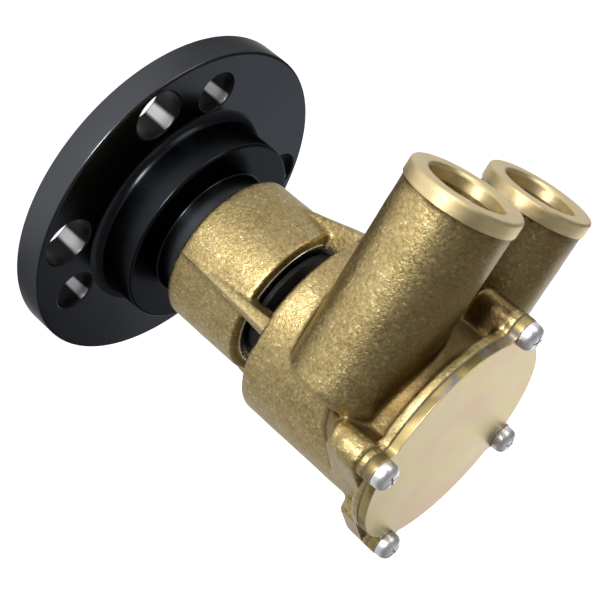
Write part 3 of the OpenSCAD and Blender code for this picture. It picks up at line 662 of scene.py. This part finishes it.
def drive_flange():
    washer_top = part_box("flange_washer")[1][2] * 1000
    bore, neck_top, hub_top = 9.03, 36.0, 27.6
    profile = [(bore, washer_top), (14, washer_top), (14, 5), (22.25, 5), (22.25, 0, 0.4), (63.5, 0, 0.8),
               (63.5, flange_t, 1.0), (37, flange_t, 3.6), (37, hub_top, 1.0), (24.6, hub_top, 0.5),
               (24.6, neck_top, 0.7), (bore, neck_top)]
    made = piece("flange_turned", to_mesh(spun(profile, 240), "flange_turned"), "rotor", "flange_black",
                 finishes["flange_black"], "drive_flange")
    made.data.materials.append(finishes["bored_hole"])
    cut(made, joined([hole_cutter(row_r, hole_r, angle)
                      for row_r, hole_r, angles in hole_rows for angle in angles]))
    low, high = (Vector(corner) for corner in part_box("flange_key"))
    cut(made, key_slot(low, high, washer_top / 1000, neck_top / 1000))
    smooth_by_angle(made, 30, Vector((0, 0, 1)))
    print("flange", len(made.data.polygons), "faces, materials", [m.name for m in made.data.materials])


drive_flange()

# %% [markdown]
# The end cover and the rim behind it share one outline. A merged copy of the solid has its
# coplanar triangles dissolved, so that a Bevel modifier finds the clean edges.

# %% End cover and rim
def edged(name, node, slot, finish, width, low=None, high=None):
    """A copy of a flat node with soft edges, stretched between two heights in mm if they are given."""
    bm = merged_copy(node)
    bmesh.ops.dissolve_limit(bm, angle_limit=math.radians(1), verts=bm.verts, edges=bm.edges)
    if low is not None:
        foot, top = (corner[2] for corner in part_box(node))
        for v in bm.verts:
            v.co.z = (low + (high - low) * (v.co.z - foot) / (top - foot)) / 1000
    made = piece(name, to_mesh(bm, name), "housing", slot, finish, *([node] if low is None else []))
    soft = made.modifiers.new("soft edges", "BEVEL")
    soft.width, soft.segments = width / 1000, 3
    soft.limit_method, soft.angle_limit = "ANGLE", math.radians(50)
    bake(made)
    smooth_by_angle(made, 40, Vector((0, 0, 1)))
    print(name, len(made.data.polygons), "faces")


edged("cover_plate", "end_cover", "cover_bronze", finishes["cover_bronze"], 0.15)
edged("housing_rim", "cover_gasket", "cast_bronze", finishes["cast_bronze"], 0.2, 137.6, 139.7)

# %% [markdown]
# Cover screws. Each is a pan head with a cross recess, on a plain washer face. One head is
# turned and its recess cut with two tapered blades. Copies take the four places, each
# turned differently, as nobody lines up the slots of cover screws.

# %% Cover screws
recess_size = (0.0080, 0.00100, 0.0040)
recess_foot_share = (0.25, 0.75, 1)
recess_middle_z = 0.0046
screw_places = ((270, 0.35), (90, 1.1), (near_screw, 0.8), (173.5, 0.15))


def blade(turn):
    """One tapered arm of the cutter for a cross recess."""
    bm = bmesh.new()
    bmesh.ops.create_cube(bm, size=1)
    bmesh.ops.scale(bm, verts=bm.verts, vec=recess_size)
    foot = [v for v in bm.verts if v.co.z < 0]
    bmesh.ops.scale(bm, verts=foot, vec=recess_foot_share)
    bmesh.ops.rotate(bm, verts=bm.verts, matrix=Matrix.Rotation(turn, 3, "Z"))
    bmesh.ops.translate(bm, verts=bm.verts, vec=(0, 0, recess_middle_z))
    return bm


def cover_screws():
    head_r, head_h, shank_r, shank_len = 4.8, 4.8, 2.35, 9.6
    profile = [(0, -shank_len), (shank_r, -shank_len, 0.4), (shank_r, 0), (head_r, 0, 0.25),
               (head_r - 0.15, 3.2, 1.2), (2.9, head_h - 0.15, 0.9), (0, head_h)]
    one = bpy.data.objects.new("one screw", to_mesh(spun(profile, 48), "one screw"))
    scene.collection.objects.link(one)
    one.data.materials.append(finishes["screw_steel"])
    cut(one, blade(0))
    cut(one, blade(math.pi / 2))
    heads = []
    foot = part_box("end_cover")[1][2]
    for angle, turn in screw_places:
        bm = bmesh.new()
        bm.from_mesh(one.data)
        bmesh.ops.rotate(bm, verts=bm.verts, matrix=Matrix.Rotation(turn, 3, "Z"))
        bmesh.ops.translate(bm, verts=bm.verts, vec=ring_point(screw_ring_r, angle, foot))
        heads.append(bm)
    bpy.data.objects.remove(one)
    made = piece("cross_screws", to_mesh(joined(heads), "cross_screws"), "housing", "screw_steel",
                 finishes["screw_steel"], "cover_screws")
    smooth_by_angle(made, 32)
    print("screws", len(made.data.polygons), "faces")


cover_screws()

# %% [markdown]
# White floor and soft lamps. The floor and the sky are white to the camera. What mirrors the
# floor sees it brighter on one side of the pump, as in the photograph's studio, and dimmer on
# the others. The floor keeps a soft shadow.

# %% Floor and lamps
def floor():
    bm = bmesh.new()
    bmesh.ops.create_grid(bm, x_segments=1, y_segments=1, size=4)
    bmesh.ops.translate(bm, verts=bm.verts, vec=(0, 0, -0.0001))
    made = bpy.data.objects.new("floor", to_mesh(bm, "floor"))
    scene.collection.objects.link(made)
    f = Finish("floor", Base_Color=(0.8, 0.8, 0.8, 1), Roughness=1.0, Specular_IOR_Level=0.0,
               Emission_Strength=1.0)
    path = f.tree.nodes.new("ShaderNodeLightPath").outputs
    lit = f.vector("DOT_PRODUCT", f.vector("NORMALIZE", f.mm), bright_side, "Value")
    dim, more = 0.40, 0.55
    mirrored = f.math("ADD", path["Is Glossy Ray"], path["Is Transmission Ray"], clamp=True)
    level = Field(f, path["Is Camera Ray"]) + mirrored * (dim + lit.step(0.60, 0.95) * more)
    f.plug(f.shader.inputs["Emission Color"], level)
    made.data.materials.append(f.material)


def sky(strength):
    """An even sky that lights with the given strength and is white to the camera."""
    world = bpy.data.worlds.new("studio")
    scene.world = world
    world.use_nodes = True
    tree = world.node_tree
    background = tree.nodes["Background"].inputs
    background["Color"].default_value = (1.0, 1.0, 1.0, 1)
    rays = tree.nodes.new("ShaderNodeLightPath")
    shown = tree.nodes.new("ShaderNodeMath")
    shown.operation = "MULTIPLY_ADD"
    shown.inputs[1].default_value = 1.0 - strength
    shown.inputs[2].default_value = strength
    tree.links.new(rays.outputs["Is Camera Ray"], shown.inputs[0])
    tree.links.new(shown.outputs["Value"], background["Strength"])


def lamp(name, place, aim, size, power, shape="SQUARE"):
    data = bpy.data.lights.new(name, "AREA")
    data.shape, data.size, data.energy = shape, size, power
    made = bpy.data.objects.new(name, data)
    made.location = place
    made.rotation_mode = "QUATERNION"
    made.rotation_quaternion = (Vector(aim) - Vector(place)).to_track_quat("-Z", "Y")
    scene.collection.objects.link(made)


floor()
sky(0.22)
middle = (0.0, 0.0, 0.08)
lamp("front", (0.10, -0.80, 0.25), middle, 0.4, 1.3)
lamp("key", (0.78, -0.28, 0.06), middle, 0.2, 6.0)
lamp("over", (-0.35, 0.25, 1.00), middle, 1.2, 1.0)
lamp("behind", (-1.08, 0.27, 0.36), middle, 0.74, 1.75, "DISK")
